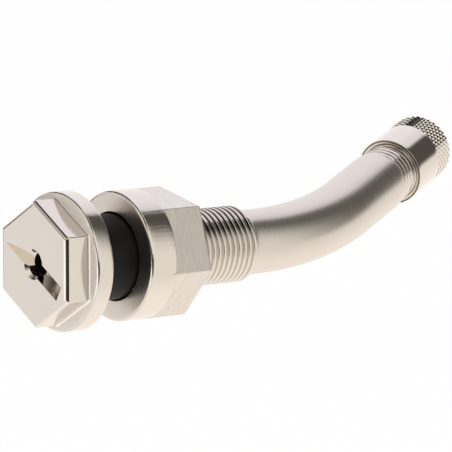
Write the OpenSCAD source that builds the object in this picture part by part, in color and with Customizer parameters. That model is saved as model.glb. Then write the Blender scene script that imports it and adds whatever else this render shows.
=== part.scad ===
// Bent clamp-in tyre valve for a truck wheel, in millimetres.
// The base axis lies along +X and the origin is on it at the rim seat, the rear face of the flange.
// The stem bends towards +Y and +Z is up, so Z = 0 is the plane of the bend.

/* [Head] */
// Across the flats of the hexagonal head
head_af = 13.4; // [12:0.1:14]
// Length of the head in front of the flange
head_h = 3.4; // [2.5:0.1:5]
// Bevel round the front edge of the head
head_bevel = 0.5; // [0.2:0.05:0.8]
// Bevel that runs the foot of the head out onto the flange
head_foot = 0.35; // [0.1:0.05:0.4]
// Turn of the head and its slot about the base axis
head_turn = -4; // [-30:1:30]
// Width of the slot milled across the head
slot_w = 2; // [1.2:0.1:2.6]
// Length of the slot where it leaves the face
slot_l = 12; // [9:0.1:13]
// Depth of the slot at its middle
slot_depth = 1.3; // [1:0.1:2]
// Air hole through the head
inlet_d = 2.9; // [2.4:0.1:3.4]
// Countersink round the air hole
inlet_sink = 0.4; // [0.2:0.05:0.6]

/* [Flange and rim seat] */
// Flange diameter
flange_d = 17; // [16.4:0.1:20]
// Flange thickness
flange_t = 2.4; // [1.6:0.1:3.5]
// Bevel on both edges of the flange
flange_edge = 0.35; // [0.1:0.05:0.6]
// Depth of the recess that holds the seal in the rear of the flange
recess_h = 0.5; // [0.3:0.05:0.9]

/* [Rubber seal] */
// Outside diameter of the rubber sleeve, wider than the 9.7 mm rim hole it fills
seal_d = 10.5; // [10:0.1:11.5]
// How far the sleeve stands out of the rim seat, into the mouth of the nut
seal_l = 6.2; // [5.5:0.1:6.4]
// Neck of the stem inside the sleeve
neck_d = 7.6; // [6.5:0.1:8.5]
// Rounding, as a bevel, on the free edge of the sleeve
seal_edge = 0.4; // [0.2:0.05:0.8]

/* [Base thread and nut] */
// Outside diameter of the base thread, smaller than the rim hole
thread_d = 9.55; // [9.1:0.05:9.6]
// Where the base thread ends, from the rim seat
thread_end = 25.4; // [24:0.2:26.6]
// Room for the rim between its seat and the nut at rest
rim_room = 5.95; // [5.6:0.05:7]
// Across the flats of the nut
nut_af = 14; // [13:0.1:14.6]
// Length of the nut's hexagon behind its collar
nut_hex_l = 5.5; // [4:0.1:6.5]
// Diameter of the nut's round collar
collar_d = 16; // [15.4:0.1:18]
// Width of the collar
collar_w = 3.8; // [2.5:0.1:4.5]
// Turn of the nut about the base axis at rest
nut_turn = 38; // [0:1:59]
// Bevel on the front edge of the collar
collar_edge = 0.35; // [0.1:0.05:0.7]
// Depth of the recess in the nut's mouth that takes the end of the sleeve
nut_recess_h = 1.4; // [1.2:0.1:2]
// Bevel at the rear of the nut's bore
nut_mouth = 0.6; // [0.2:0.05:0.9]

/* [Bent tube] */
// Tube diameter
tube_d = 8.1; // [7.9:0.05:8.4]
// Bore for the air, from the flange to the core
bore_d = 4; // [3.8:0.05:4.4]
// Where the bend starts, from the rim seat
bend_start = 27.2; // [26.8:0.2:32]
// Radius of the bend on the tube's centre line
bend_r = 42.3; // [30:0.1:60]
// Angle of the bend
bend_angle = 27; // [10:1:60]

/* [Tip] */
// Straight length from the end of the bend to the shoulder
shoulder_at = 9.1; // [8:0.1:14]
// Tip thread diameter
tip_d = 7.7; // [7.5:0.05:7.7]
// Length of the tip thread, shoulder to mouth
tip_l = 11.3; // [10.5:0.1:13]
// Bevel at the shoulder and at the mouth
tip_edge = 0.3; // [0.1:0.05:0.4]

/* [Cap] */
// Wall of the cap's sleeve round the tip thread
cap_wall = 0.525; // [0.45:0.025:1]
// Thread left bare between the shoulder and the cap
cap_gap = 3.75; // [2:0.05:5]
// Thickness of the sealing disc inside the cap
disc_t = 0.9; // [0.6:0.1:1.4]
// Thickness of the cap's closed end
cap_top = 1.5; // [1:0.1:2.5]
// Bevel round the mouth of the cap
cap_edge = 0.15; // [0.05:0.05:0.3]
// Bevel round the closed end of the cap
cap_round = 0.4; // [0.2:0.05:0.8]
// Length of the band at the closed end that is knurled
knurl_l = 4.1; // [3:0.1:5]
// Groove that parts the knurled band from the smooth sleeve
knurl_groove = 0.1; // [0.05:0.01:0.15]

/* [Valve core] */
// Diameter of the core's threaded plug
plug_d = 5.2; // [5:0.05:5.3]
// Length of the plug
plug_l = 4; // [3.5:0.1:4.5]
// How far the plug sits inside the mouth
plug_drop = 1; // [0.8:0.1:1.4]
// Width of the tongue that the core tool turns
tongue_w = 2.6; // [2.4:0.1:3]
// Height of the tongue
tongue_h = 1.8; // [1.4:0.1:2.2]
// Diameter of the core's barrel
barrel_d = 3.5; // [3.4:0.05:3.6]
// Length of the barrel
barrel_l = 7.6; // [7:0.1:8]
// Wall of the barrel round the spring
barrel_wall = 0.45; // [0.35:0.05:0.55]
// Height of the lip at the foot of the barrel
lip_h = 0.8; // [0.6:0.1:1]
// Pin diameter
pin_d = 1.1; // [0.9:0.05:1.2]
// How far the pin stands above the plug
pin_proud = 0.5; // [0.3:0.1:0.7]
// Height of the pin's collar
pin_collar_h = 0.6; // [0.4:0.1:0.9]
// Riveted end of the pin below the cup
rivet_h = 0.3; // [0.2:0.05:0.5]
// Wire of the core's spring
wire_d = 0.24; // [0.2:0.01:0.28]
// Turns of the spring
turns = 6; // [4:1:8]
// Length of the sealing cone in the stem
cone_l = 2.8; // [2.4:0.1:3.2]
// Length of the gasket on the barrel
gasket_l = 1.7; // [1.2:0.1:2]
// Thickness of the washer under the barrel
washer_t = 0.5; // [0.4:0.05:0.7]
// Thickness of the cup that carries the washer
cup_t = 1; // [0.7:0.1:1.4]

/* [Fits] */
// Running clearance on the radius between each screwed pair
run_clear = 0.05; // [0.03:0.01:0.08]
// Clearance on the radius of soft and sliding pieces
soft_clear = 0.04; // [0.02:0.01:0.06]
// Clearance on the radius of the sleeve in the mouth of the nut
mouth_clear = 0.22; // [0.1:0.02:0.3]
// Step left free along the core between one shoulder and the next
core_step = 0.3; // [0.2:0.05:0.4]
// Clearance on the radius of the washer and cup inside the barrel's outline
cup_inset = 0.05; // [0.03:0.01:0.1]
// Gap on the radius round the pin that lets the air past
air_gap = 0.4; // [0.3:0.05:0.5]
// How far a cutter runs past what it cuts
overcut = 1; // [0.5:0.5:2]

/* [Hidden] */
// Arcs are smooth in the preview; the exact rebuild takes them as true circles
$fn = 96;
// Head
head_r = head_af/sqrt(3);
bevel_r = head_bevel*2/sqrt(3);
face_x = -flange_t - head_h;
slot_r = (slot_l*slot_l/4 + slot_depth*slot_depth)/(2*slot_depth);
// Seal and nut along the base axis
recess_d = seal_d + 2*soft_clear;
nut_recess_d = seal_d + 2*mouth_clear;
nut_l = collar_w + nut_hex_l;
nut_bore = thread_d + 2*run_clear;
thread_edge = (thread_d - tube_d)/2;
// End of the bend
bend_end = [bend_start + bend_r*sin(bend_angle), bend_r*(1 - cos(bend_angle)), 0];
// Cap, measured from the mouth of the tip
cap_bore = tip_d + 2*run_clear;
cap_d = cap_bore + 2*cap_wall;
cap_low = cap_gap - tip_l;
cap_high = disc_t + cap_top;
// Core, measured from the mouth of the tip and down into the stem
chamber_d = plug_d + 2*run_clear;
plug_low = -plug_drop - plug_l;
barrel_low = plug_low - barrel_l;
barrel_bore = barrel_d - 2*barrel_wall;
cone_high = plug_low - core_step;
cone_low = cone_high - cone_l;
cone_slope = (chamber_d - bore_d)/2/cone_l;
gasket_high = cone_high - core_step;
gasket_low = gasket_high - gasket_l;
washer_low = barrel_low - washer_t;
cup_low = washer_low - cup_t;
cup_d = barrel_d - 2*cup_inset;
pin_top = pin_proud - plug_drop;
pin_low = cup_low - rivet_h;
pin_collar_d = barrel_bore - 2*soft_clear;
spring_high = plug_low - core_step - pin_collar_h;
spring_low = barrel_low + lip_h;
air_d = pin_d + 2*air_gap;

// Sets a piece drawn about Z onto the base axis, from the rim seat
module on_base() {
  rotate([90, 0, 90]) children();
}

// Sets a piece drawn about Z onto the straight end of the tube, from the end of the bend
module on_end() {
  translate(bend_end) rotate([0, 0, bend_angle]) rotate([90, 0, 90]) children();
}

// Sets a piece drawn about Z onto the tip, from its mouth
module on_tip() {
  on_end() translate([0, 0, shoulder_at + tip_l]) children();
}

// A ring about Z, from low to high
module ring(outer, inner, low, high) {
  translate([0, 0, low]) difference() {
    cylinder(d = outer, h = high - low);
    translate([0, 0, -overcut]) cylinder(d = inner, h = high - low + 2*overcut);
  }
}

// Hexagonal head with its bevel, countersunk air hole and disc-milled slot
module head() {
  rotate([0, 0, head_turn]) difference() {
    translate([0, 0, face_x]) {
      cylinder(r1 = head_r - bevel_r, r2 = head_r - bevel_r/3, h = head_bevel/3, $fn = 6);
      translate([0, 0, head_bevel/3])
        cylinder(r1 = head_r - bevel_r/3, r2 = head_r, h = head_bevel*2/3, $fn = 6);
      translate([0, 0, head_bevel]) cylinder(r = head_r, h = head_h - head_bevel, $fn = 6);
      translate([0, 0, head_h - head_foot])
        cylinder(r1 = head_r, r2 = head_r + head_foot*2/sqrt(3), h = head_foot, $fn = 6);
    }
    translate([0, 0, face_x - overcut]) cylinder(d = inlet_d, h = head_h + 2*overcut);
    translate([0, 0, face_x - inlet_sink])
      cylinder(r1 = inlet_d/2 + 2*inlet_sink, r2 = inlet_d/2, h = 2*inlet_sink);
    translate([0, slot_w/2, face_x + slot_depth - slot_r]) rotate([90, 0, 0])
      cylinder(r = slot_r, h = slot_w);
  }
}

// Flange, neck, base thread and start of the tube, turned in one profile
module base_turning() {
  rotate_extrude() polygon([
    [bore_d/2, -flange_t], [flange_d/2 - flange_edge, -flange_t], [flange_d/2, flange_edge - flange_t],
    [flange_d/2, -flange_edge], [flange_d/2 - flange_edge, 0], [recess_d/2, 0],
    [recess_d/2, -recess_h], [neck_d/2, -recess_h], [neck_d/2, seal_l],
    [thread_d/2 - thread_edge/2, seal_l], [thread_d/2, seal_l + thread_edge/2],
    [thread_d/2, thread_end - thread_edge], [tube_d/2, thread_end],
    [tube_d/2, bend_start], [bore_d/2, bend_start]]);
}

// The bend, swept with its bore
module bend() {
  translate([bend_start, bend_r, 0]) rotate([0, 0, -90]) rotate_extrude(angle = bend_angle)
    translate([bend_r, 0]) difference() {
      circle(d = tube_d);
      circle(d = bore_d);
    }
}

// Straight end of the tube with the tip thread and the chamber for the core
module tip_turning() {
  top = shoulder_at + tip_l;
  rotate_extrude() polygon([
    [bore_d/2, 0], [tube_d/2, 0], [tube_d/2, shoulder_at - tip_edge/2],
    [tip_d/2, shoulder_at], [tip_d/2, top - tip_edge], [tip_d/2 - tip_edge, top],
    [chamber_d/2, top], [chamber_d/2, top + cone_high], [bore_d/2, top + cone_low]]);
}

// One-piece brass stem
module stem() {
  color([0.85, 0.82, 0.78]) union() {
    on_base() head();
    on_base() base_turning();
    bend();
    on_end() tip_turning();
  }
}

// Rubber sleeve on the neck
module seal() {
  color([0.06, 0.06, 0.06]) on_base() rotate_extrude() polygon([
    [neck_d/2 + soft_clear, -recess_h], [seal_d/2, -recess_h], [seal_d/2, seal_l - seal_edge],
    [seal_d/2 - seal_edge, seal_l], [neck_d/2 + soft_clear, seal_l]]);
}

// Nut with a round collar in one piece
module nut() {
  color([0.86, 0.83, 0.78]) on_base() translate([0, 0, rim_room]) difference() {
    union() {
      cylinder(d1 = collar_d - 2*collar_edge, d2 = collar_d, h = collar_edge);
      translate([0, 0, collar_edge]) cylinder(d = collar_d, h = collar_w - collar_edge);
      translate([0, 0, collar_w]) rotate([0, 0, nut_turn])
        cylinder(d = nut_af*2/sqrt(3), h = nut_hex_l, $fn = 6);
    }
    rotate_extrude() polygon([
      [0, -overcut], [nut_recess_d/2, -overcut], [nut_recess_d/2, nut_recess_h], [nut_bore/2, nut_recess_h],
      [nut_bore/2, nut_l - nut_mouth], [nut_bore/2 + nut_mouth + overcut, nut_l + overcut],
      [0, nut_l + overcut]]);
  }
}

// Screw cap, a closed sleeve with a knurled band
module cap() {
  color([0.87, 0.84, 0.8]) on_tip() rotate_extrude() polygon([
    [cap_bore/2, cap_low], [cap_d/2 - cap_edge, cap_low], [cap_d/2, cap_low + cap_edge],
    [cap_d/2, cap_high - knurl_l - knurl_groove], [cap_d/2 - knurl_groove, cap_high - knurl_l],
    [cap_d/2, cap_high - knurl_l + knurl_groove], [cap_d/2, cap_high - cap_round],
    [cap_d/2 - cap_round, cap_high], [0, cap_high], [0, disc_t], [cap_bore/2, disc_t]]);
}

// Sealing disc in the cap, which turns freely on it
module cap_disc() {
  color([0.1, 0.1, 0.1]) on_tip() cylinder(d = cap_bore - 2*soft_clear, h = disc_t - soft_clear);
}

// Threaded plug of the core, with a tongue for the core tool
module core_plug() {
  color([0.82, 0.68, 0.4]) on_tip() difference() {
    ring(plug_d, air_d, plug_low, -plug_drop);
    for (side = [-1, 1])
      translate([side*(tongue_w/2 + plug_d/2) - plug_d/2, -plug_d, -plug_drop - tongue_h])
        cube([plug_d, plug_d*2, tongue_h + overcut]);
  }
}

// Barrel of the core, with a lip at its lower end for the spring and the washer
module core_barrel() {
  color([0.8, 0.66, 0.38]) on_tip() {
    ring(barrel_d, barrel_bore, barrel_low + lip_h, plug_low);
    ring(barrel_d, air_d, barrel_low, barrel_low + lip_h);
  }
}

// Tapered gasket that seals the barrel in its seat
module core_gasket() {
  color([0.75, 0.12, 0.1]) on_tip() rotate_extrude() polygon([
    [barrel_d/2, gasket_low],
    [bore_d/2 + (gasket_low - cone_low)*cone_slope - soft_clear, gasket_low],
    [bore_d/2 + (gasket_high - cone_low)*cone_slope - soft_clear, gasket_high],
    [barrel_d/2, gasket_high]]);
}

// Pin with the collar that the spring lifts
module core_pin() {
  color([0.84, 0.7, 0.42]) on_tip() union() {
    translate([0, 0, pin_low]) cylinder(d = pin_d, h = pin_top - pin_low);
    translate([0, 0, spring_high]) cylinder(d = pin_collar_d, h = pin_collar_h);
  }
}

// Point on the spring's centre line, at a share of its length
function coil(share) = let (a = 360*turns*share, r = pin_collar_d/2 - soft_clear - wire_d/2)
  [r*cos(a), r*sin(a), spring_low + wire_d/2 + (spring_high - spring_low - wire_d)*share];

// Coil spring between the lip of the barrel and the collar of the pin
module core_spring() {
  steps = turns*12;
  color([0.7, 0.7, 0.72]) on_tip() for (i = [0:steps - 1]) hull() {
    translate(coil(i/steps)) rotate([90, 0, 360*turns*i/steps])
      cylinder(d = wire_d, h = 0.01, center = true, $fn = 6);
    translate(coil((i + 1)/steps)) rotate([90, 0, 360*turns*(i + 1)/steps])
      cylinder(d = wire_d, h = 0.01, center = true, $fn = 6);
  }
}

// Brass cup under the barrel, riveted to the pin
module plunger_cup() {
  color([0.83, 0.69, 0.4]) on_tip() ring(cup_d, pin_d, cup_low, washer_low);
}

// Rubber washer that closes the lower end of the barrel
module seat_washer() {
  color([0.12, 0.12, 0.12]) on_tip() ring(cup_d - 2*cup_inset, pin_d, washer_low, barrel_low);
}

stem();
seal();
nut();
cap();
cap_disc();
core_plug();
core_barrel();
core_gasket();
core_pin();
core_spring();
plunger_cup();
seat_washer();
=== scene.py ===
"""Looks of a bent clamp-in tyre valve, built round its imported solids.

Sizes are in millimetres and meshes are made in metres. The base axis lies along +X with the
origin at the rim seat, the stem bends towards +Y, and +Z is up.
"""
import math
import bmesh
import bpy
from mathutils import Matrix, Vector


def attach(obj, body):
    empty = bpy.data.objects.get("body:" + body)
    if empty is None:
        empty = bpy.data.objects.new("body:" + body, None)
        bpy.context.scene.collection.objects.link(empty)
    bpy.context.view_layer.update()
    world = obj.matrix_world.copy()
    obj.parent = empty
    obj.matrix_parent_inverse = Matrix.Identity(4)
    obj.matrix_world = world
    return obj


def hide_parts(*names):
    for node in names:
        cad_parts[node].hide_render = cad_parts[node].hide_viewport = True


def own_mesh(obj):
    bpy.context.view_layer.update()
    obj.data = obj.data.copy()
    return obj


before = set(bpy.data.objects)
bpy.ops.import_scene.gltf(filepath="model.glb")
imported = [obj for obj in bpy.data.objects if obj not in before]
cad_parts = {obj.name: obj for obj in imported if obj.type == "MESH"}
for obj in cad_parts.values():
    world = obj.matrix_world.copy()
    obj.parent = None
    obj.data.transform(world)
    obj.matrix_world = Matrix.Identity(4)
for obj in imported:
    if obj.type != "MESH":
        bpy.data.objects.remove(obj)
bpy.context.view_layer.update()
MM = 0.001

# Sizes of the stem, as in the part's source
HEAD_FLAT = 6.7
HEAD_FACE = -5.8
HEAD_TURN = math.radians(-4)
SLOT_WIDTH = 2.0
SLOT_LENGTH = 12.0
SLOT_DEPTH = 1.3
INLET_R = 1.45
INLET_SINK = 0.4
BORE_R = 2.0
FLANGE_R = 8.5
FLANGE_FRONT = -2.4
FLANGE_EDGE = 0.35
RECESS_R = 5.29
RECESS_DEPTH = 0.5
NECK_R = 3.8
THREAD_START = 6.2
THREAD_END = 25.4
THREAD_R = 4.775
TUBE_R = 4.05
BEND_START = 27.2
BEND_R = 42.3
BEND_ANGLE = math.radians(27)
SHOULDER = 9.1
TIP_R = 3.85
TIP_LENGTH = 11.3
CHAMBER_R = 2.65
CHAMBER_DEPTH = 5.3
CONE_LENGTH = 2.8

# Sizes of the seal, the nut, the cap and the spring, as in the part's source
SEAL_R = 5.25
SEAL_END = 6.2
NUT_START = 5.95
COLLAR_R = 8.0
COLLAR_WIDTH = 3.8
NUT_LENGTH = 9.3
NUT_FLAT = 7.0
NUT_TURN = math.radians(38)
NUT_BORE_R = 4.825
NUT_RECESS_R = 5.47
NUT_RECESS_DEPTH = 1.4
NUT_MOUTH = 0.6
CAP_R = 4.425
CAP_BORE_R = 3.9
CAP_LOW = -7.55
CAP_HIGH = 2.4
DISC_THICK = 0.9
KNURL_LENGTH = 4.1
SPRING_R = 1.1
SPRING_LOW = -11.8
SPRING_HIGH = -5.9
SPRING_TURNS = 6
WIRE_R = 0.12

# Sizes of the looks alone: the turns of the threads
PITCH = 0.794
THREAD_ROOT = 4.29
TIP_ROOT = 3.4
GROOVE = 0.38
TIP_GROOVE = 0.3
THREAD_RUN_OUT = 0.3
TIP_THREAD_ROOM = 0.1

# Shares of a turn: where the thread's flanks start and end, and how long its ends taper
FLANK_START = 0.03
FLANK_END = 0.32
TIP_FLANK_END = 0.24
END_TURN = 0.1

# Sizes of the looks alone: the knurl
KNURL_ROUND = 32
KNURL_ROWS = 10
KNURL_STEP = 0.387
KNURL_HEIGHT = 0.19
KNURL_SET_IN = 0.2
KNURL_SINK = 0.01
KNURL_EDGE = 0.02
KNURL_ROOM = 0.12
KNURL_BLUNT = 0.25

# Sizes of the looks alone: edges, steps and overlaps
HEAD_FOOT = 0.3
HEAD_EDGE = 0.6
HEAD_CORNER = 0.25
FOOT_CORNER = 0.3
INLET_STEP = 0.1
TIP_STEP = 0.05
TIP_BEVEL = 0.2
SEAL_ROOM = 0.04
NUT_EDGE = 0.2
NUT_CORNER = 0.12
NUT_ROOM = 0.02
# Width of the ring of painted shade at the cap's mouth
MOUTH_SHADE_RING = 0.24
MOUTH_BEVEL = 0.04
CAP_END_RISE = 0.35
CAP_END_BEVEL = 0.45
OVERLAP = 0.4

# Limits by which faces are chosen for a finish
RIM_BAND = 0.4
PAST_SEAT = 1.0
RECESS_BAND = 0.01
SQUARE_ON = 0.99
NEARLY_ON = 0.9
HALF_ON = 0.5

# Fineness of the meshes
AROUND = 128
COLLAR_AROUND = 160
CUTTER_AROUND = 160
THREAD_POINTS = 144
TIP_THREAD_POINTS = 128
THREAD_ACROSS = 25
COIL_POINTS = 28
WIRE_POINTS = 10
FLAT_PIECES = 10
EASE_STEPS = 5
MOST_EASE = 0.49
LONGEST_RUN = 0.7
GUARD = 0.05
CORNER_GUARD = 0.06
ON_AXIS = 1e-6

# Distances in metres within which points are merged
SAME_POINT = 1e-7
SAME_TREE_POINT = 1e-6

# Angles in degrees above which an edge is shaded sharp
SHARP = 32
HEAD_SHARP = 14
THREAD_SHARP = 50
KNURL_SHARP = 20
SPRING_SHARP = 60

# Places along the centre line, from the rim seat, the two axes, and the turn that brings Z onto X
BEND_END = BEND_START + BEND_R*BEND_ANGLE
SHOULDER_AT = BEND_END + SHOULDER
MOUTH_AT = SHOULDER_AT + TIP_LENGTH
BASE_AXIS = (1.0, 0.0, 0.0)
TIP_AXIS = (math.cos(BEND_ANGLE), math.sin(BEND_ANGLE), 0.0)
Z_TO_X = Matrix(((0, 0, 1, 0), (1, 0, 0, 0), (0, 1, 0, 0), (0, 0, 0, 1)))


def centre_line(along):
    """Point on the stem's centre line and its turn, at a distance from the rim seat."""
    if along <= BEND_START:
        return Vector((along, 0, 0)), 0.0
    turn = min((along - BEND_START)/BEND_R, BEND_ANGLE)
    rest = along - BEND_START - BEND_R*turn
    x = BEND_START + BEND_R*math.sin(turn) + rest*math.cos(turn)
    y = BEND_R*(1 - math.cos(turn)) + rest*math.sin(turn)
    return Vector((x, y, 0)), turn


def axis_at(along):
    """Matrix that sets a piece drawn about Z onto the centre line, in metres."""
    point, turn = centre_line(along)
    return Matrix.Translation(point*MM) @ Matrix.Rotation(turn, 4, "Z") @ Z_TO_X


def eased(outline, closed=True):
    """Outline with its corners rounded: each point is (along, radius, rounding)."""
    out = []
    count = len(outline)
    for i, (along, radius, rounding) in enumerate(outline):
        here = Vector((along, radius))
        is_end = not closed and i in (0, count - 1)
        if rounding == 0 or is_end:
            out.append(here)
            continue
        before = Vector(outline[i - 1][:2]) - here
        after = Vector(outline[(i + 1) % count][:2]) - here
        reach = min(rounding, MOST_EASE*before.length, MOST_EASE*after.length)
        one = here + before.normalized()*reach
        two = here + after.normalized()*reach
        for k in range(EASE_STEPS + 1):
            t = k/EASE_STEPS
            out.append(one*(1 - t)**2 + here*2*t*(1 - t) + two*t*t)
    return out


def divided(outline, closed=True):
    """Outline with its long runs divided, so that they follow the bend and shade evenly."""
    out = []
    last = len(outline) if closed else len(outline) - 1
    for i in range(last):
        a = outline[i]
        b = outline[(i + 1) % len(outline)]
        pieces = max(1, math.ceil((b - a).length/LONGEST_RUN))
        out.extend(a.lerp(b, k/pieces) for k in range(pieces))
    if not closed:
        out.append(outline[-1])
    return out


def new_piece(name, shape, material):
    """Object made of a bmesh, merged, facing outwards and shaded smooth between sharp edges."""
    bmesh.ops.remove_doubles(shape, verts=shape.verts, dist=SAME_POINT)
    bmesh.ops.recalc_face_normals(shape, faces=shape.faces)
    mesh = bpy.data.meshes.new(name)
    shape.to_mesh(mesh)
    shape.free()
    return shown(name, mesh, material, SHARP)


def shown(name, mesh, material, sharp):
    """Object that shows a mesh in one material."""
    mesh.materials.clear()
    mesh.materials.append(material)
    mesh.shade_smooth()
    mesh.set_sharp_from_angle(angle=math.radians(sharp))
    piece = bpy.data.objects.new(name, mesh)
    bpy.context.scene.collection.objects.link(piece)
    return piece


def finish_faces(piece, material, chosen):
    """Gives another finish to the faces that a test chooses."""
    piece.data.materials.append(material)
    index = len(piece.data.materials) - 1
    for face in piece.data.polygons:
        if chosen(face):
            face.material_index = index


def radius_of(face):
    """Distance of a face's middle from the base axis, in millimetres."""
    return math.hypot(face.center.y, face.center.z)/MM


def turn_about_line(shape, outline, around=AROUND, start=0.0, closed=True):
    """Adds an outline of (along, radius) points, turned about the centre line, to a bmesh."""
    rings = []
    up = Vector((0, 0, 1))
    for along, radius in outline:
        point, turn = centre_line(start + along)
        side = Vector((-math.sin(turn), math.cos(turn), 0))
        if radius < ON_AXIS:
            rings.append([shape.verts.new(point*MM)])
            continue
        ring = []
        for k in range(around):
            t = 2*math.pi*k/around
            spoke = side*radius*math.cos(t) + up*radius*math.sin(t)
            ring.append(shape.verts.new((point + spoke)*MM))
        rings.append(ring)
    pairs = list(zip(rings, rings[1:]))
    if closed:
        pairs.append((rings[-1], rings[0]))
    for one, two in pairs:
        for k in range(around):
            n = (k + 1) % around
            corners = [one[k % len(one)], one[n % len(one)], two[n % len(two)], two[k % len(two)]]
            kept = list(dict.fromkeys(corners))
            if len(kept) > 2:
                shape.faces.new(kept)


def hexagon(flat, corner, turn):
    """Outline of a hexagon from half its width across flats, with round corners and divided flats."""
    corners = []
    for side in range(6):
        middle = turn + side*math.pi/3
        reach = (flat - corner)/math.cos(math.pi/6)
        centre = Vector((math.cos(middle), math.sin(middle)))*reach
        arc = [middle + math.radians(t) for t in range(-30, 31, 10)]
        points = [centre + Vector((math.cos(t), math.sin(t)))*corner for t in arc]
        back = Vector((math.sin(arc[0]), -math.cos(arc[0])))
        on = Vector((-math.sin(arc[-1]), math.cos(arc[-1])))
        lead = points[0] + back*CORNER_GUARD
        trail = points[-1] + on*CORNER_GUARD
        corners.append([lead] + points + [trail])
    out = []
    for one, two in zip(corners, corners[1:] + corners[:1]):
        out.extend(one)
        out.extend(one[-1].lerp(two[0], k/FLAT_PIECES) for k in range(1, FLAT_PIECES))
    return out


def hexagon_rings(shape, sections, turn, bore=()):
    """Adds a hexagonal body to a bmesh.

    Each section is (along the base axis, half across flats, corner radius). The bore is a run of
    (along, radius) pairs from the last section back to the first. Without it the ends are closed.
    """
    rings = []
    for x, flat, corner in sections:
        outline = hexagon(flat, corner, turn)
        rings.append([shape.verts.new(Vector((x, p.x, p.y))*MM) for p in outline])
    if bore:
        angles = [math.atan2(v.co.z, v.co.y) for v in rings[0]]
        for x, r in bore:
            circle = [Vector((x, r*math.cos(t), r*math.sin(t))) for t in angles]
            rings.append([shape.verts.new(p*MM) for p in circle])
        rings.append(rings[0])
    else:
        shape.faces.new(rings[0])
        shape.faces.new(rings[-1])
    count = len(rings[0])
    for one, two in zip(rings, rings[1:]):
        for k in range(count):
            n = (k + 1) % count
            shape.faces.new((one[k], one[n], two[n], two[k]))


# Node helpers
def feed(tree, socket, value):
    """Sets a socket, or links an output to it."""
    if isinstance(value, bpy.types.NodeSocket):
        tree.links.new(value, socket)
    else:
        socket.default_value = value


def add(tree, kind, settings=(), **values):
    """Node of a kind with its settings, and its inputs set or linked by name."""
    node = tree.nodes.new(kind)
    for key, value in settings:
        setattr(node, key, value)
    for name, value in values.items():
        feed(tree, node.inputs[name.replace("_", " ")], value)
    return node


def calc(tree, kind, *values):
    """Result of a Math node."""
    node = add(tree, "ShaderNodeMath", [("operation", kind)])
    for socket, value in zip(node.inputs, values):
        feed(tree, socket, value)
    return node.outputs[0]


def product(tree, first, *others):
    """Product of several values."""
    for other in others:
        first = calc(tree, "MULTIPLY", first, other)
    return first


def vector_calc(tree, kind, *values, scale=None):
    """Result of a Vector Math node: a number from a dot product or a length, and else a vector."""
    node = add(tree, "ShaderNodeVectorMath", [("operation", kind)])
    for socket, value in zip(node.inputs, values):
        feed(tree, socket, value)
    if scale is not None:
        feed(tree, node.inputs["Scale"], scale)
    return node.outputs["Value" if kind in ("DOT_PRODUCT", "LENGTH") else "Vector"]


def ranged(tree, value, start, end, low=0.0, high=1.0, kind="LINEAR"):
    """Value run from one span onto another and held at its ends."""
    node = add(tree, "ShaderNodeMapRange", [("interpolation_type", kind)], Value=value,
               From_Min=start, From_Max=end, To_Min=low, To_Max=high)
    return node.outputs["Result"]


def eased_step(tree, value, span):
    """Runs smoothly from 0 at the start of a span to 1 at its end."""
    return ranged(tree, value, *span, kind="SMOOTHSTEP")


def blend(tree, share, one, two):
    """Mix of two colours by a share."""
    mixed = add(tree, "ShaderNodeMix", [("data_type", "RGBA")])
    for index, value in ((0, share), (6, one), (7, two)):
        feed(tree, mixed.inputs[index], value)
    return mixed.outputs[2]


def parts_of(tree, vector):
    """X, Y and Z of a vector."""
    node = add(tree, "ShaderNodeSeparateXYZ", Vector=vector)
    return [node.outputs[axis] for axis in "XYZ"]


def vector_of(tree, x, y, z):
    """Vector of three values."""
    return add(tree, "ShaderNodeCombineXYZ", X=x, Y=y, Z=z).outputs["Vector"]


def round_z(tree, radius, angle, height):
    """Place at a radius, an angle and a height about Z."""
    x = calc(tree, "MULTIPLY", radius, calc(tree, "COSINE", angle))
    y = calc(tree, "MULTIPLY", radius, calc(tree, "SINE", angle))
    return vector_of(tree, x, y, height)


# Geometry Nodes trees for what repeats
def new_tree(name, sizes):
    """Geometry Nodes tree with named inputs; gives the tree and its inputs."""
    tree = bpy.data.node_groups.new(name, "GeometryNodeTree")
    kinds = {int: "NodeSocketInt", float: "NodeSocketFloat"}
    for size, kind in sizes:
        tree.interface.new_socket(name=size, in_out="INPUT", socket_type=kinds[kind])
    tree.interface.new_socket(name="Material", in_out="INPUT", socket_type="NodeSocketMaterial")
    tree.interface.new_socket(name="Geometry", in_out="OUTPUT", socket_type="NodeSocketGeometry")
    return tree, tree.nodes.new("NodeGroupInput").outputs


def end_tree(tree, size, geometry):
    """Closes a tree: realised, merged and with its material."""
    real = add(tree, "GeometryNodeRealizeInstances", Geometry=geometry)
    merged = add(tree, "GeometryNodeMergeByDistance", Geometry=real.outputs["Geometry"],
                 Distance=SAME_TREE_POINT)
    dressed = add(tree, "GeometryNodeSetMaterial", Geometry=merged.outputs["Geometry"],
                  Material=size["Material"])
    add(tree, "NodeGroupOutput", Geometry=dressed.outputs["Geometry"])
    return tree


def here_in(tree):
    """X, Y and Z of each point's place."""
    return parts_of(tree, tree.nodes.new("GeometryNodeInputPosition").outputs["Position"])


def grown(name, tree, sizes, material, place, sharp):
    """Plain mesh object made by a Geometry Nodes tree and set in its place."""
    holder = bpy.data.objects.new(name + "_maker", bpy.data.meshes.new(name + "_maker"))
    bpy.context.scene.collection.objects.link(holder)
    maker = holder.modifiers.new("maker", "NODES")
    maker.node_group = tree
    given = {**sizes, "Material": material}
    for socket in tree.interface.items_tree:
        if socket.in_out == "INPUT":
            maker[socket.identifier] = given[socket.name]
    made = holder.evaluated_get(bpy.context.evaluated_depsgraph_get())
    mesh = bpy.data.meshes.new_from_object(made)
    mesh.name = name
    holder.modifiers.remove(maker)
    bpy.data.objects.remove(holder)
    mesh.transform(place)
    return shown(name, mesh, material, sharp)


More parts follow.
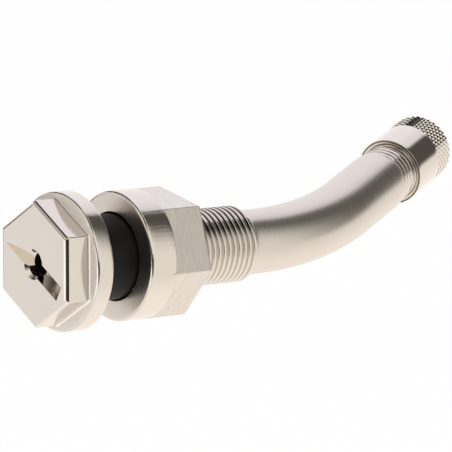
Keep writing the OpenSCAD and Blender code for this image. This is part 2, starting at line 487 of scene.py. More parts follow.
def thread_tree():
    """A screw thread about Z: one strip as wide as the pitch, wound round and joined to itself."""
    tree, size = new_tree("thread", [
        ("Turns", int), ("Points a turn", int), ("Pitch", float), ("Root radius", float),
        ("Crest radius", float), ("Flank end", float)])
    root = size["Root radius"]
    steps = calc(tree, "MULTIPLY", size["Turns"], size["Points a turn"])
    strip = add(tree, "GeometryNodeMeshGrid", Size_X=1.0, Size_Y=1.0,
                Vertices_X=calc(tree, "ADD", steps, 1.0), Vertices_Y=THREAD_ACROSS)
    x, y, _ = here_in(tree)
    wound = calc(tree, "MULTIPLY", calc(tree, "ADD", x, 0.5), size["Turns"])
    across = calc(tree, "ADD", y, 0.5)
    angle = calc(tree, "MULTIPLY", wound, 2*math.pi)
    height = calc(tree, "MULTIPLY", calc(tree, "ADD", wound, across), size["Pitch"])

    # Flanks on both sides of the strip's middle, which shrink away near the two ends
    off_middle = calc(tree, "ABSOLUTE", calc(tree, "SUBTRACT", across, 0.5))
    fold = calc(tree, "SUBTRACT", 0.5, off_middle)
    flank = eased_step(tree, fold, (FLANK_START, size["Flank end"]))
    from_end = calc(tree, "MINIMUM", wound, calc(tree, "SUBTRACT", size["Turns"], wound))
    taper = calc(tree, "MINIMUM", calc(tree, "DIVIDE", from_end, END_TURN), 1.0)
    depth = calc(tree, "SUBTRACT", size["Crest radius"], root)
    reach = calc(tree, "MULTIPLY_ADD", calc(tree, "MULTIPLY", flank, taper), depth, root)

    # Bevels at the two ends of the thread
    length = calc(tree, "MULTIPLY", calc(tree, "ADD", size["Turns"], 1.0), size["Pitch"])
    lead_in = calc(tree, "ADD", root, height)
    run_out = calc(tree, "ADD", root, calc(tree, "SUBTRACT", length, height))
    radius = calc(tree, "MINIMUM", calc(tree, "MINIMUM", reach, lead_in), run_out)
    wrapped = add(tree, "GeometryNodeSetPosition", Geometry=strip.outputs["Mesh"],
                  Position=round_z(tree, radius, angle, height))
    return end_tree(tree, size, wrapped.outputs["Geometry"])


def knurl_tree():
    """Rows of small diamond points round a band, each row half a step on from the last."""
    tree, size = new_tree("knurl", [
        ("Points round", int), ("Rows", int), ("Radius", float), ("Row step", float),
        ("Half round", float), ("Half along", float), ("Height", float)])
    grid = add(tree, "GeometryNodeMeshGrid", Size_X=1.0, Size_Y=1.0,
               Vertices_X=size["Points round"], Vertices_Y=size["Rows"])
    x, y, _ = here_in(tree)
    last = calc(tree, "SUBTRACT", size["Points round"], 1.0)
    column = calc(tree, "ROUND", calc(tree, "MULTIPLY", calc(tree, "ADD", x, 0.5), last))
    top = calc(tree, "SUBTRACT", size["Rows"], 1.0)
    row = calc(tree, "ROUND", calc(tree, "MULTIPLY", calc(tree, "ADD", y, 0.5), top))
    shift = calc(tree, "MULTIPLY", calc(tree, "MODULO", row, 2.0), 0.5)
    share = calc(tree, "DIVIDE", calc(tree, "ADD", column, shift), size["Points round"])
    angle = calc(tree, "MULTIPLY", share, 2*math.pi)
    height = calc(tree, "MULTIPLY", row, size["Row step"])
    spots = add(tree, "GeometryNodeSetPosition", Geometry=grid.outputs["Mesh"],
                Position=round_z(tree, size["Radius"], angle, height))

    # Each point is a blunt pyramid that faces outwards
    point = add(tree, "GeometryNodeMeshCone", [("fill_type", "NONE")], Vertices=4,
                Radius_Top=KNURL_BLUNT, Radius_Bottom=1.0, Depth=1.0)
    stretch = vector_of(tree, size["Half along"], size["Half round"], size["Height"])
    x, y, _ = here_in(tree)
    facing = vector_of(tree, 0.0, math.pi/2, calc(tree, "ARCTAN2", y, x))
    turned = add(tree, "FunctionNodeEulerToRotation", Euler=facing)
    points = add(tree, "GeometryNodeInstanceOnPoints", Points=spots.outputs["Geometry"],
                 Instance=point.outputs["Mesh"], Rotation=turned.outputs["Rotation"], Scale=stretch)
    return end_tree(tree, size, points.outputs["Instances"])


def spring_tree():
    """A coil of round wire about Z."""
    tree, size = new_tree("spring", [
        ("Turns", float), ("Coil radius", float), ("Height", float), ("Wire radius", float)])
    coil = add(tree, "GeometryNodeCurveSpiral", Resolution=COIL_POINTS, Rotations=size["Turns"],
               Start_Radius=size["Coil radius"], End_Radius=size["Coil radius"],
               Height=size["Height"])
    wire = add(tree, "GeometryNodeCurvePrimitiveCircle", Resolution=WIRE_POINTS,
               Radius=size["Wire radius"])
    swept = add(tree, "GeometryNodeCurveToMesh", Curve=coil.outputs["Curve"],
                Profile_Curve=wire.outputs["Curve"], Fill_Caps=True)
    return end_tree(tree, size, swept.outputs["Mesh"])


# Finishes: clouds, lines and specks are counted for a metre
PLATING_CLOUDS = 260.0
RUBBER_CLOUDS = 500.0
MARK_LINES = 9000.0
MARK_SPECKS = 9000.0
RUBBER_LINES = 2500.0
RUBBER_SPECKS = 6000.0
RUBBER_SKIN = 0.006
RUBBER_SPREAD = 0.08
RUBBER_SPECULAR = 0.25
LINE_SHARE = 0.6
LINE_DRIFT = 0.05
LINE_CONTRAST = (0.35, 0.65)
MARK_CONTRAST = (0.3, 0.7)
ROUND_COLLAR = (0.0, 0.88, 0.47)
# Painted shade in the roots of the base thread: how dark, darkest on its upper side, and where
ROOT_SHADE = 0.9
UPPER_ROOT_SHADE = 0.1
ROOT_UP = (0.0, 0.64, 0.77)
ROOT_RISE = (1.2, 2.6)
ROOT_SPAN = (THREAD_R - 0.16, THREAD_R - 0.03)


def new_group(name, inputs, outputs):
    """Shader group with named sockets; gives the group, its inputs and its output node."""
    group = bpy.data.node_groups.new(name, "ShaderNodeTree")
    for way, sockets in (("INPUT", inputs), ("OUTPUT", outputs)):
        for socket, kind in sockets:
            group.interface.new_socket(name=socket, in_out=way, socket_type="NodeSocket" + kind)
    return group, group.nodes.new("NodeGroupInput").outputs, group.nodes.new("NodeGroupOutput")


def object_place(tree):
    """Place in the piece's own coordinates."""
    return tree.nodes.new("ShaderNodeTexCoord").outputs["Object"]


def tool_marks_group():
    """Fine lines square to an axis, and specks, as a turning tool leaves them.

    Gives both mixed as a height, and each by itself.
    """
    group, given, out = new_group(
        "tool marks", [("Axis", "Vector"), ("Lines a metre", "Float"), ("Specks a metre", "Float")],
        [("Height", "Float"), ("Lines", "Float"), ("Specks", "Float")])
    here = object_place(group)
    along = vector_calc(group, "DOT_PRODUCT", here, given["Axis"])
    drift = calc(group, "MULTIPLY", given["Lines a metre"], LINE_DRIFT)
    wide = vector_calc(group, "SCALE", here, scale=drift)
    count = calc(group, "MULTIPLY", given["Lines a metre"], along)
    fine = vector_calc(group, "SCALE", given["Axis"], scale=count)
    lines = add(group, "ShaderNodeTexNoise", Detail=2.0, Roughness=0.6, Scale=1.0,
                Vector=vector_calc(group, "ADD", wide, fine)).outputs["Fac"]
    specks = add(group, "ShaderNodeTexNoise", Detail=2.0, Roughness=0.6,
                 Scale=given["Specks a metre"], Vector=here).outputs["Fac"]
    height = calc(group, "ADD", calc(group, "MULTIPLY", lines, LINE_SHARE),
                  calc(group, "MULTIPLY", specks, 1.0 - LINE_SHARE))
    for name, value in (("Height", height), ("Lines", lines), ("Specks", specks)):
        feed(group, out.inputs[name], value)
    return group


def plating_tone_group():
    """Slight clouds between a cool and a warm colour."""
    group, given, out = new_group(
        "plating tone", [("Cool", "Color"), ("Warm", "Color"), ("Clouds a metre", "Float")],
        [("Colour", "Color")])
    clouds = add(group, "ShaderNodeTexNoise", Detail=3.0, Scale=given["Clouds a metre"],
                 Vector=object_place(group))
    mixed = blend(group, clouds.outputs["Fac"], given["Cool"], given["Warm"])
    feed(group, out.inputs["Colour"], mixed)
    return group


TOOL_MARKS = tool_marks_group()
PLATING_TONE = plating_tone_group()


def new_finish(name, cool, warm, clouds, axis, lines, specks):
    """Material with both groups; gives it, its tree, its surface, its tone and its tool marks."""
    material = bpy.data.materials.new(name)
    material.use_nodes = True
    tree = material.node_tree
    tone = add(tree, "ShaderNodeGroup", [("node_tree", PLATING_TONE)], Cool=cool, Warm=warm,
               Clouds_a_metre=clouds)
    marks = add(tree, "ShaderNodeGroup", [("node_tree", TOOL_MARKS)], Axis=axis,
                Lines_a_metre=lines, Specks_a_metre=specks)
    surface = tree.nodes["Principled BSDF"].inputs
    return material, tree, surface, tone.outputs["Colour"], marks.outputs


def add_relief(tree, surface, height, depth):
    """Bump of a height, so many millimetres deep."""
    relief = add(tree, "ShaderNodeBump", Strength=1.0, Distance=depth*MM, Height=height)
    feed(tree, surface["Normal"], relief.outputs["Normal"])


def painted_root_shade(tree):
    """Painted shade that darkens the roots of the base thread, most on its upper side."""
    here = object_place(tree)
    radius = vector_calc(tree, "LENGTH", vector_calc(tree, "MULTIPLY", here, (0.0, 1.0, 1.0)))
    rise = vector_calc(tree, "DOT_PRODUCT", here, ROOT_UP)
    root = ranged(tree, rise, ROOT_RISE[0]*MM, ROOT_RISE[1]*MM, ROOT_SHADE, UPPER_ROOT_SHADE)
    return ranged(tree, radius, ROOT_SPAN[0]*MM, ROOT_SPAN[1]*MM, root, 1.0)


def metal(name, cool, warm, gloss, spread, depth, axis=BASE_AXIS, lines=MARK_LINES,
          specks=MARK_SPECKS, line_tone=0.0, metallic=1.0, roots=False):
    """Metal between a cool and a warm colour.

    Its roughness varies about the gloss by the spread, and its tool marks have a depth in millimetres.
    Its lines can be toned, and the roots of the base thread can be given painted shade.
    """
    material, tree, surface, tone, marks = new_finish(name, cool, warm, PLATING_CLOUDS, axis, lines,
                                                      specks)
    tint = ranged(tree, marks["Lines"], *LINE_CONTRAST, 1.0 - line_tone, 1.0)
    # The roots of the base thread get painted shade in the tint
    if roots:
        tint = calc(tree, "MULTIPLY", tint, painted_root_shade(tree))
    feed(tree, surface["Base Color"], vector_calc(tree, "SCALE", tone, scale=tint))
    feed(tree, surface["Metallic"], metallic)
    rough = ranged(tree, marks["Height"], *MARK_CONTRAST, gloss - spread, gloss + spread)
    feed(tree, surface["Roughness"], rough)
    add_relief(tree, surface, marks["Height"], depth)
    return material


def rubber(name, cool, warm, gloss):
    """Moulded rubber or plastic with a fine skin."""
    material, tree, surface, tone, marks = new_finish(name, cool, warm, RUBBER_CLOUDS, BASE_AXIS,
                                                      RUBBER_LINES, RUBBER_SPECKS)
    feed(tree, surface["Base Color"], tone)
    rough = ranged(tree, marks["Specks"], 0.0, 1.0, gloss - RUBBER_SPREAD, gloss + RUBBER_SPREAD)
    feed(tree, surface["Roughness"], rough)
    feed(tree, surface["Specular IOR Level"], RUBBER_SPECULAR)
    add_relief(tree, surface, marks["Height"], RUBBER_SKIN)
    return material


NICKEL = ((0.80, 0.755, 0.71, 1), (0.84, 0.785, 0.72, 1))
SATIN = ((0.77, 0.725, 0.68, 1), (0.805, 0.75, 0.69, 1))
DULL_PLATE = ((0.86, 0.82, 0.78, 1), (0.9, 0.85, 0.79, 1))
# Dark nickel: painted shade for the flange's seat face, between flange and nut
SEAT_SHADE = ((0.32, 0.29, 0.26, 1), (0.38, 0.34, 0.3, 1))
# Darker nickel: painted shade for the inside of the air hole
BORE_SHADE = ((0.55, 0.49, 0.42, 1), (0.62, 0.55, 0.46, 1))
# Near black: painted shade for the nut's recess and bore
RECESS_SHADE = ((0.05, 0.045, 0.04, 1), (0.06, 0.055, 0.05, 1))
BRASS = ((0.72, 0.54, 0.26, 1), (0.80, 0.62, 0.32, 1))
# Dark brass tone: painted shade for the ring at the cap's mouth
MOUTH_SHADE = ((0.2, 0.145, 0.095, 1), (0.26, 0.19, 0.12, 1))
STEEL = ((0.55, 0.55, 0.56, 1), (0.62, 0.61, 0.60, 1))
BLACK = ((0.0025, 0.0025, 0.0025, 1), (0.00325, 0.003125, 0.003, 1))
RED = ((0.42, 0.03, 0.02, 1), (0.55, 0.05, 0.03, 1))

# Each metal has its colours, gloss, spread and depth of marks
satin_nickel = metal("satin_nickel", *SATIN, 0.29, 0.03, 0.003)
head_nickel = metal("head_nickel", *NICKEL, 0.13, 0.03, 0.002)
thread_nickel = metal("thread_nickel", *NICKEL, 0.14, 0.03, 0.001)
# This nickel carries painted shade in the roots of the base thread
base_nickel = metal("base_nickel", *NICKEL, 0.14, 0.03, 0.001, roots=True)
shaded_bore_nickel = metal("shaded_bore_nickel", *BORE_SHADE, 0.26, 0.06, 0.004)
# Painted shade for the inside of the nut, not a finish of its own
painted_recess_shade = metal("painted_recess_shade", *RECESS_SHADE, 0.6, 0.1, 0.01)
collar_nickel = metal("collar_nickel", *NICKEL, 0.12, 0.04, 0.03, axis=ROUND_COLLAR, lines=2600.0,
                      specks=5000.0)
turned_nickel = metal("turned_nickel", *NICKEL, 0.13, 0.04, 0.02, specks=4000.0)
flange_nickel = metal("flange_nickel", *DULL_PLATE, 0.5, 0.05, 0.006, metallic=0.35)
# Painted shade for the flange's seat faces
shaded_seat_nickel = metal("shaded_seat_nickel", *SEAT_SHADE, 0.4, 0.05, 0.006)
faced_nickel = metal("faced_nickel", *NICKEL, 0.3, 0.04, 0.004)
brushed_nickel = metal("brushed_nickel", *NICKEL, 0.22, 0.05, 0.012, line_tone=0.16)
cap_nickel = metal("cap_nickel", *NICKEL, 0.11, 0.03, 0.002, axis=TIP_AXIS)
# Painted shade for the outer ring of the cap's mouth
mouth_ring_shade = metal("mouth_ring_shade", *MOUTH_SHADE, 0.3, 0.05, 0.003, axis=TIP_AXIS)
core_brass = metal("core_brass", *BRASS, 0.2, 0.05, 0.003, axis=TIP_AXIS)
spring_steel = metal("spring_steel", *STEEL, 0.25, 0.05, 0.002, axis=TIP_AXIS)
black_rubber = rubber("black_rubber", *BLACK, 0.5)
red_gasket = rubber("red_gasket", *RED, 0.45)


# Pieces
def keep(piece, body, slot, *nodes):
    """Sets a piece on its body and hides the solids it stands for. The slot is not used."""
    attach(piece, body)
    if nodes:
        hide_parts(*nodes)


def cut_from(piece, tool):
    """Cuts a tool out of a piece and throws the tool away."""
    cut = piece.modifiers.new("cut", "BOOLEAN")
    cut.operation = "DIFFERENCE"
    cut.solver = "EXACT"
    cut.material_mode = "TRANSFER"
    cut.object = tool
    made = piece.evaluated_get(bpy.context.evaluated_depsgraph_get())
    mesh = bpy.data.meshes.new_from_object(made)
    piece.modifiers.remove(cut)
    piece.data = mesh
    bpy.data.objects.remove(tool)


def round_cutter(name, radius, end_radius, length, place, material):
    """Closed round cutter about Z, set in its place, that leaves its own finish on what it cuts."""
    shape = bmesh.new()
    bmesh.ops.create_cone(shape, cap_ends=True, segments=CUTTER_AROUND, radius1=radius*MM,
                          radius2=end_radius*MM, depth=length*MM)
    mesh = bpy.data.meshes.new(name)
    shape.to_mesh(mesh)
    shape.free()
    mesh.transform(place)
    mesh.materials.append(material)
    cutter = bpy.data.objects.new(name, mesh)
    bpy.context.scene.collection.objects.link(cutter)
    return cutter


def make_head():
    """Hexagonal head with rounded edges, run out onto the flange, bored and slotted."""
    foot_flat = HEAD_FLAT + HEAD_FOOT
    foot_x = FLANGE_FRONT - HEAD_FOOT
    sections = [(FLANGE_FRONT + OVERLAP, foot_flat, FOOT_CORNER), (FLANGE_FRONT, foot_flat, FOOT_CORNER)]
    for t in range(75, -1, -15):
        a = math.radians(t)
        flat = foot_flat - HEAD_FOOT*math.cos(a)
        sections.append((foot_x + HEAD_FOOT*math.sin(a), flat, HEAD_CORNER))
    sections.append((foot_x - GUARD, HEAD_FLAT, HEAD_CORNER))
    sections.append((HEAD_FACE + HEAD_EDGE + GUARD, HEAD_FLAT, HEAD_CORNER))
    for t in range(90, -1, -6):
        a = math.radians(t)
        flat = HEAD_FLAT - HEAD_EDGE*(1 - math.sin(a))
        sections.append((HEAD_FACE + HEAD_EDGE*(1 - math.cos(a)), flat, HEAD_CORNER))
    sections.append((HEAD_FACE, HEAD_FLAT - HEAD_EDGE - GUARD, HEAD_CORNER))
    shape = bmesh.new()
    hexagon_rings(shape, sections, HEAD_TURN)
    head = new_piece("stem_head", shape, head_nickel)

    # Air hole, its countersink, and the slot that a disc cutter leaves
    base = axis_at(0) @ Matrix.Rotation(HEAD_TURN, 4, "Z")
    front = base @ Matrix.Translation(Vector((0, 0, HEAD_FACE))*MM)
    through = -2*HEAD_FACE + OVERLAP
    # The hole's wall takes darker nickel as painted shade
    cut_from(head, round_cutter("hole", INLET_R, INLET_R, through, front, shaded_bore_nickel))
    sink_r = INLET_R + 2*INLET_SINK
    cut_from(head, round_cutter("sink", sink_r, INLET_R, 2*INLET_SINK, front, head_nickel))
    disc_r = (SLOT_LENGTH**2/4 + SLOT_DEPTH**2)/(2*SLOT_DEPTH)
    centre = Vector((0, 0, HEAD_FACE + SLOT_DEPTH - disc_r))*MM
    across = base @ Matrix.Translation(centre) @ Matrix.Rotation(math.pi/2, 4, "X")
    cut_from(head, round_cutter("disc", disc_r, disc_r, SLOT_WIDTH, across, head_nickel))
    head.data.shade_smooth()
    head.data.set_sharp_from_angle(angle=math.radians(HEAD_SHARP))

    # The flange side of the rounded foot has the flange's finish
    finish_faces(head, flange_nickel,
                 lambda face: face.center.x > foot_x*MM and face.normal.x < -HALF_ON)
    return head


def make_stem():
    """Flange, neck, tube, bend and tip, turned in one outline with the bore inside."""
    chamber = MOUTH_AT - CHAMBER_DEPTH
    outline = [
        (FLANGE_FRONT, BORE_R + INLET_STEP, 0), (FLANGE_FRONT, FLANGE_R, FLANGE_EDGE),
        (0, FLANGE_R, FLANGE_EDGE), (0, RECESS_R, 0.08),
        (-RECESS_DEPTH, RECESS_R, 0.05), (-RECESS_DEPTH, NECK_R, 0.05),
        (THREAD_START, NECK_R, 0.05), (THREAD_START, THREAD_ROOT, 0.05),
        (THREAD_END - THREAD_RUN_OUT, THREAD_ROOT, 0.15), (THREAD_END, TUBE_R, 0.3),
        (SHOULDER_AT, TUBE_R, 0.16), (SHOULDER_AT + TIP_STEP, TIP_ROOT, 0.05),
        (MOUTH_AT - TIP_STEP, TIP_ROOT, 0.05), (MOUTH_AT, TIP_ROOT - TIP_BEVEL, 0.05),
        (MOUTH_AT, CHAMBER_R, 0.08), (chamber, CHAMBER_R, 0.1), (chamber - CONE_LENGTH, BORE_R, 0.1)]
    shape = bmesh.new()
    turn_about_line(shape, divided(eased(outline)))
    stem = new_piece("stem_body", shape, satin_nickel)

    # The flange is bright round its rim, has dark painted shade on its seat faces and is dull in front
    reach = PAST_SEAT*MM
    rim_r = FLANGE_R - RIM_BAND
    finish_faces(stem, turned_nickel, lambda face: radius_of(face) > rim_r and face.center.x < reach)
    finish_faces(stem, shaded_seat_nickel, lambda face: face.normal.x > SQUARE_ON and face.center.x < reach)
    finish_faces(stem, flange_nickel, lambda face: face.normal.x < -SQUARE_ON)
    return stem


def make_seal():
    """Rubber sleeve with soft edges."""
    inside = NECK_R + SEAL_ROOM
    outline = [(-RECESS_DEPTH, inside, 0), (-RECESS_DEPTH, SEAL_R, 0), (SEAL_END, SEAL_R, 0.08),
               (SEAL_END, inside, 0.2)]
    shape = bmesh.new()
    turn_about_line(shape, divided(eased(outline)))
    return new_piece("rim_seal", shape, black_rubber)


def make_collar():
    """Round collar of the nut, with a faced front and near-black painted shade in its recess and bore.
    """
    front = NUT_START
    back = NUT_START + COLLAR_WIDTH
    floor = front + NUT_RECESS_DEPTH
    outline = [(front, NUT_RECESS_R, 0.04), (front, COLLAR_R, 0.45), (back, COLLAR_R, 0.12),
               (back, NUT_BORE_R, 0), (floor, NUT_BORE_R, 0.1), (floor, NUT_RECESS_R, 0.1)]
    shape = bmesh.new()
    turn_about_line(shape, divided(eased(outline)), around=COLLAR_AROUND)
    collar = new_piece("nut_collar", shape, collar_nickel)
    inside_r = NUT_RECESS_R + RECESS_BAND
    finish_faces(collar, faced_nickel, lambda face: face.normal.x < -SQUARE_ON)
    # The recess and the bore get near-black painted shade
    finish_faces(collar, painted_recess_shade, lambda face: radius_of(face) < inside_r)
    return collar


def make_nut_hexagon():
    """Hexagon of the nut, behind its collar, with a round bore that is bevelled at its rear."""
    back = NUT_START + NUT_LENGTH
    front = NUT_START + COLLAR_WIDTH - OVERLAP
    sections = [(front, NUT_FLAT, NUT_CORNER), (back - NUT_EDGE - GUARD, NUT_FLAT, NUT_CORNER)]
    for t in range(0, 91, 15):
        a = math.radians(t)
        flat = NUT_FLAT - NUT_EDGE*(1 - math.cos(a))
        sections.append((back - NUT_EDGE*(1 - math.sin(a)), flat, NUT_CORNER))
    sections.append((back, NUT_FLAT - NUT_EDGE - GUARD, NUT_CORNER))
    bore_r = NUT_BORE_R + NUT_ROOM
    bore = [(back, NUT_BORE_R + NUT_MOUTH), (back - NUT_MOUTH, bore_r), (front, bore_r)]
    shape = bmesh.new()
    hexagon_rings(shape, sections, NUT_TURN, bore)
    return new_piece("nut_hexagon", shape, brushed_nickel)


def make_cap():
    """Closed sleeve of the cap, with a band set in for the knurl and dark painted shade on the outer
    ring of its mouth.
    """
    knurl = CAP_HIGH - KNURL_LENGTH
    band_r = CAP_R - KNURL_SET_IN
    ring_r = CAP_R - MOUTH_SHADE_RING
    outline = [
        (DISC_THICK, 0, 0), (DISC_THICK, CAP_BORE_R, 0.1), (CAP_LOW + MOUTH_BEVEL, CAP_BORE_R, 0),
        (CAP_LOW, CAP_BORE_R + MOUTH_BEVEL, 0), (CAP_LOW, ring_r, 0), (CAP_LOW, CAP_R, 0.08),
        (knurl, CAP_R, 0.02), (knurl + KNURL_EDGE, band_r, 0.02),
        (CAP_HIGH - CAP_END_RISE, band_r, 0.1), (CAP_HIGH, CAP_R - CAP_END_BEVEL, 0.1), (CAP_HIGH, 0, 0)]
    profile = divided(eased(outline, closed=False), closed=False)
    shape = bmesh.new()
    turn_about_line(shape, profile, start=MOUTH_AT, closed=False)
    sleeve = new_piece("cap_sleeve", shape, cap_nickel)
    middle = centre_line(MOUTH_AT + CAP_LOW)[0]*MM

    def faces_stem(face):
        """Whether a face looks back along the tip's axis."""
        return face.normal.dot(Vector(TIP_AXIS)) < -NEARLY_ON

    def is_outer(face):
        """Whether such a face lies on the outer ring of the mouth, which takes painted shade."""
        return faces_stem(face) and (face.center - middle).length > ring_r*MM

    finish_faces(sleeve, satin_nickel, faces_stem)
    # The outer ring of the mouth gets dark painted shade in a brass tone
    finish_faces(sleeve, mouth_ring_shade, is_outer)
    return sleeve


def make_thread(name, turns, points, crest, groove, flank_end, material, start):
    """Turns of a thread, from a place on the centre line."""
    sizes = {"Turns": turns, "Points a turn": points, "Pitch": PITCH*MM,
             "Root radius": (crest - groove)*MM, "Crest radius": crest*MM, "Flank end": flank_end}
    return grown(name, THREADS, sizes, material, axis_at(start), THREAD_SHARP)


def make_knurl():
    """Diamond points of the knurl, sunk a little into the cap's band."""
    band_r = CAP_R - KNURL_SET_IN
    sizes = {"Points round": KNURL_ROUND, "Rows": KNURL_ROWS, "Radius": (band_r - KNURL_SINK)*MM,
             "Row step": KNURL_STEP*MM, "Half round": math.pi*band_r/KNURL_ROUND*MM,
             "Half along": KNURL_STEP*MM, "Height": KNURL_HEIGHT*MM}
    place = axis_at(MOUTH_AT + CAP_HIGH - KNURL_LENGTH + KNURL_ROOM)
    return grown("cap_knurl", knurl_tree(), sizes, cap_nickel, place, KNURL_SHARP)


def make_spring():
    """Coil spring of the valve core."""
    sizes = {"Turns": float(SPRING_TURNS), "Coil radius": SPRING_R*MM,
             "Height": (SPRING_HIGH - SPRING_LOW - 2*WIRE_R)*MM, "Wire radius": WIRE_R*MM}
    place = axis_at(MOUTH_AT + SPRING_LOW + WIRE_R)
    return grown("plunger_spring", spring_tree(), sizes, spring_steel, place, SPRING_SHARP)


THREADS = thread_tree()
BASE_TURNS = int((THREAD_END - THREAD_START)/PITCH) - 1
BASE_THREAD_AT = THREAD_END - PITCH*(BASE_TURNS + 1)
TIP_TURNS = int(TIP_LENGTH/PITCH) - 1
TIP_THREAD_AT = SHOULDER_AT + TIP_THREAD_ROOM

keep(make_head(), "valve_body", "nickel")
keep(make_stem(), "valve_body", "nickel", "stem")
keep(make_seal(), "valve_body", "black_rubber", "seal")
base_thread = make_thread("base_thread", BASE_TURNS, THREAD_POINTS, THREAD_R, GROOVE, FLANK_END,
                          base_nickel, BASE_THREAD_AT)
keep(base_thread, "valve_body", "nickel")
tip_thread = make_thread("tip_thread", TIP_TURNS, TIP_THREAD_POINTS, TIP_R, TIP_GROOVE,
                         TIP_FLANK_END, thread_nickel, TIP_THREAD_AT)
keep(tip_thread, "valve_body", "nickel")
keep(make_collar(), "rim_nut", "nickel_nut", "nut")
keep(make_nut_hexagon(), "rim_nut", "nickel_nut")
keep(make_cap(), "screw_cap", "nickel_cap", "cap")
keep(make_knurl(), "screw_cap", "nickel_cap")
spring = make_spring()
keep(spring, "valve_body", "spring_steel", "core_spring")
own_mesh(spring)

# Finishes of the solids that are shown as they are
finishes = {
    "cap_disc": black_rubber, "seat_washer": black_rubber, "core_plug": core_brass,
    "core_barrel": core_brass, "core_pin": core_brass, "plunger_cup": core_brass,
    "core_gasket": red_gasket}
for name, finish in finishes.items():
    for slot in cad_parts[name].material_slots:
        slot.material = finish


# Camera, from the outlines in the photo
CAMERA_AT = (-259.255, -261.687, 251.115)
CAMERA_RIGHT = Vector((0.7843, -0.5134, 0.3483))
CAMERA_UP = Vector((0.0791, 0.6396, 0.7647))
CAMERA_LENS = 294.69
SENSOR_WIDTH = 36

# Lamp and floor
LAMP_AT = (-110, -330, 5)
LAMP_AIM = (-5, 0, 0)
LAMP_SIZE = 200
LAMP_POWER = 2.0
FLOOR_DROP = 0.02
FLOOR_MIDDLE = 30
FLOOR_HALF = 1500
FLOOR_COLOUR = (0.9, 0.89, 0.88, 1)
FLOOR_ROUGH = 0.9
FLOOR_GLOW = 0.985
WHITE = (1, 1, 1, 1)

# Colours of the surroundings
WARM_LIGHT = (0.90, 0.865, 0.80, 1)
COOL_LIGHT = (0.98, 0.95, 1.0, 1)
LOW_LIGHT = (1.07, 1.0, 0.93, 1)
LEFT_LIGHT = (0.89, 0.865, 0.835, 1)
FAR_LEFT_LIGHT = (1.3, 1.26, 1.2, 1)
GREY_BACK = (0.16, 0.135, 0.115, 1)
DARK_GAP = (0.085, 0.078, 0.068, 1)
DARK_ABOVE = (0.035, 0.031, 0.027, 1)
DIM_PATCH = (0.5, 0.45, 0.41, 1)
LIGHT_PATCH = (0.95, 0.88, 0.79, 1)

# Where they come in: spans of a direction's X, Y or Z, and spans of closeness to a direction
COOL_Y = (-0.2, 0.7)
LOW_Z = (0.1, -0.6)
LEFT_X = (0.1, -0.5)
FAR_LEFT_X = (-0.7, -0.9)
FAR_LEFT_Z = (-0.5, -0.36)
GREY_BACK_WAY = (-0.3, 0.8, -0.5)
GREY_BACK_NEAR = (0.965, 0.99)
GAP_LEAN = -0.12
GAP_Z = (-0.05, 0.12)
GAP_EDGE_Y = (0.46, 0.34)
GAP_FADE_Y = (0.8, 0.45)
GAP_FADE = 0.12
GAP_FOOT_LOW = (0.31, -0.8)
GAP_FOOT_WIDTH = (0.34, 0.36)
GAP_X = (0.2, 0.45)
ABOVE_LEAN = 0.25
ABOVE_Z = (-0.02, 0.15)
ABOVE_X = (0.3, 0.0)
NOTCH_Z = (0.5, 0.7)
NOTCH_Y = (0.0, -0.25)
DIM_PATCH_X = (-0.2, -0.55)
DIM_PATCH_Y = (0.2, 0.5)
LIGHT_PATCH_WAY = (-0.8, 0.3, 0.52)
LIGHT_PATCH_NEAR = (0.9, 0.97)


def set_camera():
    """Camera at the photo's viewing angle."""
    lens = bpy.data.cameras.new("camera")
    lens.sensor_width = SENSOR_WIDTH
    lens.lens = CAMERA_LENS
    camera = bpy.data.objects.new("camera", lens)
    back = CAMERA_RIGHT.cross(CAMERA_UP)
    turned = Matrix((CAMERA_RIGHT, CAMERA_UP, back)).transposed().to_4x4()
    camera.matrix_world = Matrix.Translation(Vector(CAMERA_AT)*MM) @ turned
    bpy.context.scene.collection.objects.link(camera)
    bpy.context.scene.camera = camera


def nearness(tree, way, toward, span):
    """1 close to a direction, 0 away from it."""
    same = vector_calc(tree, "DOT_PRODUCT", way, Vector(toward).normalized())
    return eased_step(tree, same, span)


def bright_studio(tree, way):
    """Bright part: cooler at the far side, warmer below, bright at the far left, with a grey spot."""
    x, y, z = parts_of(tree, way)
    light = blend(tree, eased_step(tree, y, COOL_Y), WARM_LIGHT, COOL_LIGHT)
    light = blend(tree, eased_step(tree, z, LOW_Z), light, LOW_LIGHT)
    light = blend(tree, eased_step(tree, x, LEFT_X), light, LEFT_LIGHT)
    far_left = product(tree, eased_step(tree, x, FAR_LEFT_X), eased_step(tree, z, FAR_LEFT_Z))
    light = blend(tree, far_left, light, FAR_LEFT_LIGHT)
    return blend(tree, nearness(tree, way, GREY_BACK_WAY, GREY_BACK_NEAR), light, GREY_BACK)


def gap_share(tree, way):
    """Share of the dark gap ahead, whose foot and left edge lean and whose top fades out."""
    x, y, z = parts_of(tree, way)
    left = eased_step(tree, calc(tree, "MULTIPLY_ADD", x, GAP_LEAN, z), GAP_Z)
    edge = calc(tree, "MULTIPLY", eased_step(tree, y, GAP_EDGE_Y), 1.0 - GAP_FADE)
    top = calc(tree, "MULTIPLY_ADD", eased_step(tree, y, GAP_FADE_Y), GAP_FADE, edge)
    low = calc(tree, "MULTIPLY_ADD", z, *GAP_FOOT_LOW)
    width = calc(tree, "MULTIPLY_ADD", z, *GAP_FOOT_WIDTH)
    up = calc(tree, "DIVIDE", calc(tree, "SUBTRACT", y, low), width)
    foot = eased_step(tree, up, (0.0, 1.0))
    return product(tree, left, top, foot, eased_step(tree, x, GAP_X))


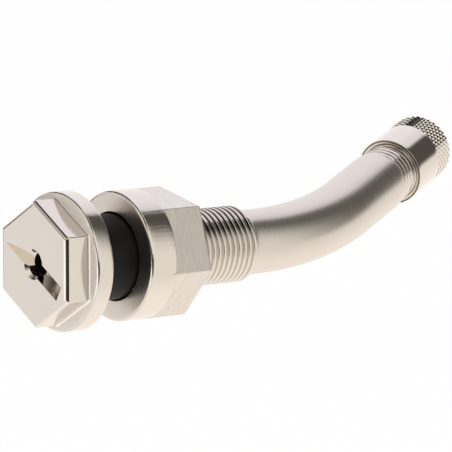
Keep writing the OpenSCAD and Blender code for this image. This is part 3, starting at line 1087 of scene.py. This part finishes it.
def overhead_share(tree, way):
    """Share of the dark overhead on the left, with a notch high up at the near side."""
    x, y, z = parts_of(tree, way)
    leaning = calc(tree, "MULTIPLY_ADD", calc(tree, "MAXIMUM", y, 0.0), ABOVE_LEAN, z)
    notch = product(tree, eased_step(tree, z, NOTCH_Z), eased_step(tree, y, NOTCH_Y))
    return product(tree, eased_step(tree, leaning, ABOVE_Z), eased_step(tree, x, ABOVE_X),
                   calc(tree, "SUBTRACT", 1.0, notch))


def overhead_colour(tree, way):
    """Dark overhead with a dim patch and a light one in it."""
    x, y, _ = parts_of(tree, way)
    dim = product(tree, eased_step(tree, x, DIM_PATCH_X), eased_step(tree, y, DIM_PATCH_Y))
    dark = blend(tree, dim, DARK_ABOVE, DIM_PATCH)
    return blend(tree, nearness(tree, way, LIGHT_PATCH_WAY, LIGHT_PATCH_NEAR), dark, LIGHT_PATCH)


def set_surroundings():
    """Bright studio with a dark gap ahead and a dark overhead, and white to the camera."""
    world = bpy.data.worlds.new("studio")
    bpy.context.scene.world = world
    world.use_nodes = True
    tree = world.node_tree
    way = tree.nodes.new("ShaderNodeTexCoord").outputs["Generated"]
    lit = blend(tree, gap_share(tree, way), bright_studio(tree, way), DARK_GAP)
    lit = blend(tree, overhead_share(tree, way), lit, overhead_colour(tree, way))
    seen = tree.nodes.new("ShaderNodeLightPath").outputs["Is Camera Ray"]
    feed(tree, tree.nodes["Background"].inputs["Color"], blend(tree, seen, lit, WHITE))


def set_floor():
    """Pale floor just under the flange, near white to the camera, with a soft shadow."""
    shape = bmesh.new()
    bmesh.ops.create_grid(shape, x_segments=1, y_segments=1, size=FLOOR_HALF*MM)
    mesh = bpy.data.meshes.new("floor")
    shape.to_mesh(mesh)
    shape.free()
    mesh.transform(Matrix.Translation(Vector((FLOOR_MIDDLE, 0, -FLANGE_R - FLOOR_DROP))*MM))
    floor = bpy.data.objects.new("floor", mesh)
    bpy.context.scene.collection.objects.link(floor)
    material = bpy.data.materials.new("pale_floor")
    material.use_nodes = True
    tree = material.node_tree
    surface = tree.nodes["Principled BSDF"]
    surface.inputs["Base Color"].default_value = FLOOR_COLOUR
    surface.inputs["Roughness"].default_value = FLOOR_ROUGH
    glow = add(tree, "ShaderNodeEmission", Color=WHITE, Strength=1.0)
    seen = tree.nodes.new("ShaderNodeLightPath").outputs["Is Camera Ray"]
    both = add(tree, "ShaderNodeMixShader", Fac=calc(tree, "MULTIPLY", seen, FLOOR_GLOW))
    feed(tree, both.inputs[1], surface.outputs["BSDF"])
    feed(tree, both.inputs[2], glow.outputs["Emission"])
    feed(tree, tree.nodes["Material Output"].inputs["Surface"], both.outputs["Shader"])
    mesh.materials.append(material)
    floor.visible_glossy = False


def set_lamp():
    """Soft lamp low at the near side, which lights dull surfaces and isn't mirrored in bright ones."""
    light = bpy.data.lights.new("soft_lamp", "AREA")
    light.shape = "DISK"
    light.size = LAMP_SIZE*MM
    light.energy = LAMP_POWER
    lamp = bpy.data.objects.new("soft_lamp", light)
    lamp.location = Vector(LAMP_AT)*MM
    toward = Vector(LAMP_AIM)*MM - lamp.location
    lamp.rotation_euler = toward.to_track_quat("-Z", "Y").to_euler()
    lamp.visible_glossy = False
    bpy.context.scene.collection.objects.link(lamp)


set_camera()
set_surroundings()
set_lamp()
set_floor()
bpy.context.scene.view_settings.view_transform = "Standard"
